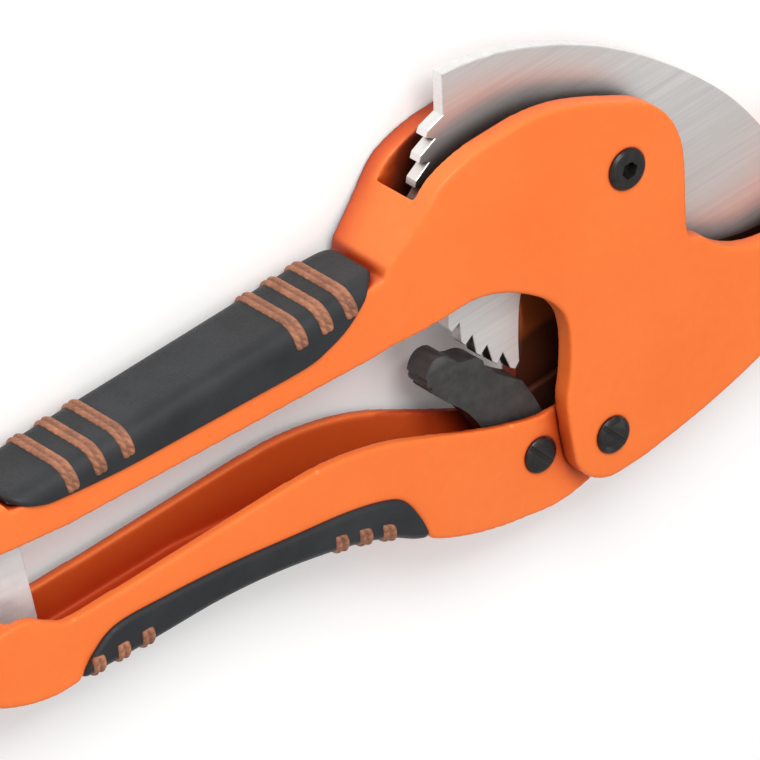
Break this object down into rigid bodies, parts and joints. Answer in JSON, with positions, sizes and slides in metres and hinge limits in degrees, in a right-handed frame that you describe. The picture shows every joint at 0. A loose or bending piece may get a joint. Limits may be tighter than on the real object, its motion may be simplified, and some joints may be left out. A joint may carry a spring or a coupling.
{
  "type": "pvc pipe cutter",
  "caption": "Ratcheting hand cutter for plastic pipe: hook jaw, pivoting toothed blade, pawl, and two channel handles with rubber grips and a lock latch.",
  "frame": {"origin": "middle of the underside: the middle of the tool's bounding box in X and Y, on the plane of the far cheek that it lies on", "axes": "+X along the handles towards the jaw, +Y from the lower handle to the upper handle in the plane of the blade, +Z through the thickness, out of the near cheek"},
  "size_m": [0.2256, 0.103, 0.0221],
  "materials": {
    "orange_coat": "satin orange powder coat over a light-alloy casting",
    "grip_rubber": "matte black moulded rubber",
    "rib_rubber": "matte orange moulded rubber, scuffed",
    "blade_steel": "satin ground stainless steel",
    "pawl_steel": "black oxide steel",
    "black_steel": "black oxide steel",
    "bright_steel": "turned steel",
    "spring_steel": "drawn spring wire",
    "latch_zinc": "bright zinc plated sheet steel"
  },
  "bodies": {
    "frame": {"main_body": "orange_coat", "upper_grip": "grip_rubber", "upper_grip_ribs": "rib_rubber", "blade_bolt": "black_steel", "blade_nut": "black_steel", "blade_bush": "bright_steel", "blade_washer": "bright_steel", "blade_spring": "spring_steel", "handle_pivot_pin": "black_steel", "handle_pivot_clip": "spring_steel", "latch_keeper_pin": "bright_steel"},
    "lever": {"lower_handle": "orange_coat", "lower_grip": "grip_rubber", "lower_grip_ribs": "rib_rubber", "handle_pivot_bush": "bright_steel", "handle_spring": "spring_steel", "pawl_pin": "black_steel", "pawl_pin_clip": "spring_steel", "pawl_spring": "spring_steel", "latch_pin": "bright_steel"},
    "pawl_arm": {"pawl": "pawl_steel"},
    "blade_arm": {"blade": "blade_steel"},
    "latch_arm": {"lock_latch": "latch_zinc"}
  },
  "joints": [
    {"name": "handle_pivot", "type": "hinge", "parent": "frame", "child": "lever", "pos_m": [0.03975, -0.03977, 0.0105], "axis": [0, 0, 1], "range_deg": [0, 22]},
    {"name": "blade_pivot", "type": "hinge", "parent": "frame", "child": "blade_arm", "pos_m": [0.05565, 0.01493, 0.0105], "axis": [0, 0, 1], "range_deg": [0, 78]},
    {"name": "pawl_pivot", "type": "hinge", "parent": "lever", "child": "pawl_arm", "pos_m": [0.02545, -0.03837, 0.0105], "axis": [0, 0, 1], "range_deg": [-31, 0]},
    {"name": "latch_pivot", "type": "hinge", "parent": "lever", "child": "latch_arm", "pos_m": [-0.09435, -0.01607, 0.0105], "axis": [0, 0, 1], "range_deg": [-8, 55]}
  ],
  "couplings": [
    {"joint": "pawl_pivot", "follows": "handle_pivot", "ratio": -1.373}
  ]
}
